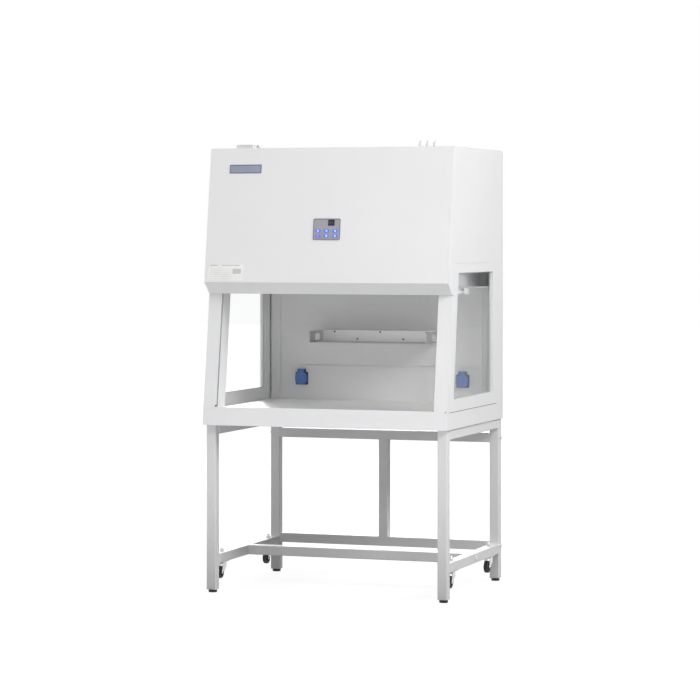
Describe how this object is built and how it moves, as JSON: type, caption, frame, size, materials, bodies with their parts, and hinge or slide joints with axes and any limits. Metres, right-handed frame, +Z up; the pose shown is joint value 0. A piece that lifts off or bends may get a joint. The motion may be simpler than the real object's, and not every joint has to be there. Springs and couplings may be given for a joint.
{
  "type": "pcr cabinet",
  "caption": "White bench cabinet on a tube stand: leaning front with a raised sliding sash, side windows, hood with control keys, shelf and lidded sockets inside.",
  "frame": {"origin": "on the floor, in the middle of the cabinet's width and depth", "axes": "+X to the right as seen by the user at the front, +Y to the back, +Z up"},
  "size_m": [1.04, 0.8, 1.844],
  "materials": {
    "stand_paint": "fine texture powder coat, satin",
    "cabinet_paint": "smooth powder coat, satin",
    "wall_paint": "smooth powder coat, satin",
    "stainless": "fine brushed",
    "zinc": "zinc plated, dull",
    "window_glass": "clear toughened",
    "sash_glass": "clear toughened",
    "sash_rail": "satin anodised",
    "black_rubber": "matt",
    "white_plastic": "fine grain",
    "socket_blue": "fine grain",
    "socket_lid_blue": "semi-gloss",
    "filter_frame": "mill finish",
    "filter_paper": "white pleats",
    "fan_steel": "satin",
    "motor_black": "satin",
    "lamp": "frosted tube in white holders",
    "panel_grey": "satin metallic film",
    "key_blue": "backlit, satin",
    "fitting_white": "fine grain"
  },
  "bodies": {
    "cabinet": {"top_side_rails": "stand_paint", "lower_side_rails": "stand_paint", "rear_top_rail": "stand_paint", "rear_lower_rail": "stand_paint", "rear_middle_post": "stand_paint", "lower_cross_rail": "stand_paint", "leg_end_inserts": "white_plastic", "stand_bolts": "zinc", "castor_plates": "zinc", "base_housing": "cabinet_paint", "work_surface": "stainless", "right_side_panel": "cabinet_paint", "left_side_panel": "cabinet_paint", "right_window_frame": "cabinet_paint", "left_window_frame": "cabinet_paint", "side_liners": "wall_paint", "side_window_glass": "window_glass", "right_front_post": "cabinet_paint", "left_front_post": "cabinet_paint", "rear_wall_panels": "wall_paint", "back_panel": "cabinet_paint", "socket_bodies": "socket_blue", "shelf": "stainless", "front_cover": "cabinet_paint", "top_panel": "cabinet_paint", "chamber_ceiling": "wall_paint", "filter_frame": "filter_frame", "filter_core": "filter_paper", "fan_housing": "fan_steel", "fan_motor": "motor_black", "ceiling_lamps": "lamp", "control_bezel": "panel_grey", "top_fittings": "fitting_white", "front_left_leg": "stand_paint", "front_right_leg": "stand_paint", "rear_left_leg": "stand_paint", "rear_right_leg": "stand_paint"},
    "front_left_foot": {"front_left_foot": "black_rubber"},
    "front_left_castor_fork": {"front_left_castor_fork": "zinc"},
    "front_left_castor_wheel": {"front_left_castor_wheel": "black_rubber"},
    "front_right_foot": {"front_right_foot": "black_rubber"},
    "front_right_castor_fork": {"front_right_castor_fork": "zinc"},
    "front_right_castor_wheel": {"front_right_castor_wheel": "black_rubber"},
    "rear_left_foot": {"rear_left_foot": "black_rubber"},
    "rear_left_castor_fork": {"rear_left_castor_fork": "zinc"},
    "rear_left_castor_wheel": {"rear_left_castor_wheel": "black_rubber"},
    "rear_right_foot": {"rear_right_foot": "black_rubber"},
    "rear_right_castor_fork": {"rear_right_castor_fork": "zinc"},
    "rear_right_castor_wheel": {"rear_right_castor_wheel": "black_rubber"},
    "upper_left_key": {"upper_left_key": "key_blue"},
    "upper_middle_key": {"upper_middle_key": "key_blue"},
    "upper_right_key": {"upper_right_key": "key_blue"},
    "lower_left_key": {"lower_left_key": "key_blue"},
    "lower_middle_key": {"lower_middle_key": "key_blue"},
    "lower_right_key": {"lower_right_key": "key_blue"},
    "right_socket_lid": {"right_socket_lid": "socket_lid_blue"},
    "left_socket_lid": {"left_socket_lid": "socket_lid_blue"},
    "fan_impeller": {"fan_impeller": "fan_steel"},
    "sash": {"sash_glass": "sash_glass", "sash_rail": "sash_rail"}
  },
  "joints": [
    {"name": "sash_slide", "type": "slide", "parent": "cabinet", "child": "sash", "axis": [0, -0.1391, -0.9903], "range_m": [0, 0.463]},
    {"name": "upper_left_key_press", "type": "slide", "parent": "cabinet", "child": "upper_left_key", "axis": [0, 0.9903, -0.1391], "range_m": [0, 0.001], "stiffness_N_per_m": 400, "springref_m": -0.0005},
    {"name": "upper_middle_key_press", "type": "slide", "parent": "cabinet", "child": "upper_middle_key", "axis": [0, 0.9903, -0.1391], "range_m": [0, 0.001], "stiffness_N_per_m": 400, "springref_m": -0.0005},
    {"name": "upper_right_key_press", "type": "slide", "parent": "cabinet", "child": "upper_right_key", "axis": [0, 0.9903, -0.1391], "range_m": [0, 0.001], "stiffness_N_per_m": 400, "springref_m": -0.0005},
    {"name": "lower_left_key_press", "type": "slide", "parent": "cabinet", "child": "lower_left_key", "axis": [0, 0.9903, -0.1391], "range_m": [0, 0.001], "stiffness_N_per_m": 400, "springref_m": -0.0005},
    {"name": "lower_middle_key_press", "type": "slide", "parent": "cabinet", "child": "lower_middle_key", "axis": [0, 0.9903, -0.1391], "range_m": [0, 0.001], "stiffness_N_per_m": 400, "springref_m": -0.0005},
    {"name": "lower_right_key_press", "type": "slide", "parent": "cabinet", "child": "lower_right_key", "axis": [0, 0.9903, -0.1391], "range_m": [0, 0.001], "stiffness_N_per_m": 400, "springref_m": -0.0005},
    {"name": "left_lid_hinge", "type": "hinge", "parent": "cabinet", "child": "left_socket_lid", "pos_m": [-0.355, 0.316, 0.876], "axis": [-1, 0, 0], "range_deg": [0, 110], "stiffness_Nm_per_rad": 0.01, "springref_deg": -17.19},
    {"name": "right_lid_hinge", "type": "hinge", "parent": "cabinet", "child": "right_socket_lid", "pos_m": [0.365, 0.316, 0.876], "axis": [-1, 0, 0], "range_deg": [0, 110], "stiffness_Nm_per_rad": 0.01, "springref_deg": -17.19},
    {"name": "front_left_castor_swivel", "type": "hinge", "parent": "cabinet", "child": "front_left_castor_fork", "pos_m": [-0.493, -0.253, 0.105], "axis": [0, 0, 1], "continuous": true},
    {"name": "front_left_castor_roll", "type": "hinge", "parent": "front_left_castor_fork", "child": "front_left_castor_wheel", "pos_m": [-0.493, -0.276, 0.072], "axis": [1, 0, 0], "continuous": true},
    {"name": "front_left_foot_screw", "type": "slide", "parent": "cabinet", "child": "front_left_foot", "axis": [0, 0, -1], "range_m": [0, 0.03]},
    {"name": "front_right_castor_swivel", "type": "hinge", "parent": "cabinet", "child": "front_right_castor_fork", "pos_m": [0.493, -0.253, 0.105], "axis": [0, 0, 1], "continuous": true},
    {"name": "front_right_castor_roll", "type": "hinge", "parent": "front_right_castor_fork", "child": "front_right_castor_wheel", "pos_m": [0.493, -0.276, 0.072], "axis": [1, 0, 0], "continuous": true},
    {"name": "front_right_foot_screw", "type": "slide", "parent": "cabinet", "child": "front_right_foot", "axis": [0, 0, -1], "range_m": [0, 0.03]},
    {"name": "rear_left_castor_swivel", "type": "hinge", "parent": "cabinet", "child": "rear_left_castor_fork", "pos_m": [-0.493, 0.279, 0.105], "axis": [0, 0, 1], "continuous": true},
    {"name": "rear_left_castor_roll", "type": "hinge", "parent": "rear_left_castor_fork", "child": "rear_left_castor_wheel", "pos_m": [-0.493, 0.256, 0.072], "axis": [1, 0, 0], "continuous": true},
    {"name": "rear_left_foot_screw", "type": "slide", "parent": "cabinet", "child": "rear_left_foot", "axis": [0, 0, -1], "range_m": [0, 0.03]},
    {"name": "rear_right_castor_swivel", "type": "hinge", "parent": "cabinet", "child": "rear_right_castor_fork", "pos_m": [0.493, 0.279, 0.105], "axis": [0, 0, 1], "continuous": true},
    {"name": "rear_right_castor_roll", "type": "hinge", "parent": "rear_right_castor_fork", "child": "rear_right_castor_wheel", "pos_m": [0.493, 0.256, 0.072], "axis": [1, 0, 0], "continuous": true},
    {"name": "rear_right_foot_screw", "type": "slide", "parent": "cabinet", "child": "rear_right_foot", "axis": [0, 0, -1], "range_m": [0, 0.03]},
    {"name": "fan_spin", "type": "hinge", "parent": "cabinet", "child": "fan_impeller", "pos_m": [0, 0.04, 1.42], "axis": [0, 0, 1], "continuous": true}
  ]
}
